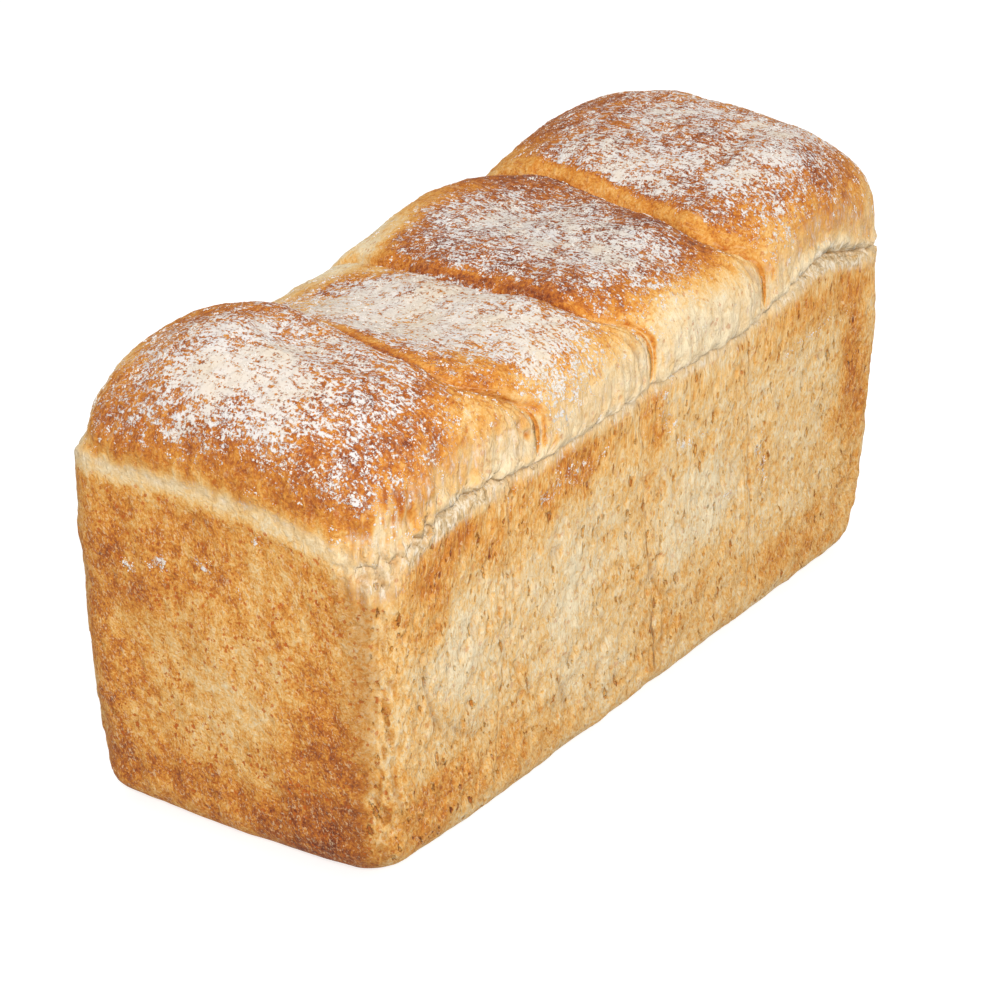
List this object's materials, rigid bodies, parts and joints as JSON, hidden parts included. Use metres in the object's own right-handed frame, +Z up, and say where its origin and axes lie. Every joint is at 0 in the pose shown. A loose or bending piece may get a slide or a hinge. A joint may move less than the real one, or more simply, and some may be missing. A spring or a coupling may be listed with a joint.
{
  "type": "white tin loaf of bread",
  "caption": "Whole uncut white bread loaf baked in a long tin, with tapered walls, domed lobes parted by deep seams, and a flour-dusted top.",
  "frame": {"origin": "middle of the flat foot that the loaf stands on", "axes": "+X runs along the loaf towards its highest lobe, +Y runs across it from the front wall to the back wall, +Z points up"},
  "size_m": [0.2916, 0.1224, 0.155],
  "materials": {
    "crust": "dry baked bread crust, golden brown, darker on top and pale along the fold, dusted with flour",
    "flour": "dry powdery white flour lying on the crust"
  },
  "bodies": {
    "root": {"loaf": "crust"}
  },
  "joints": []
}
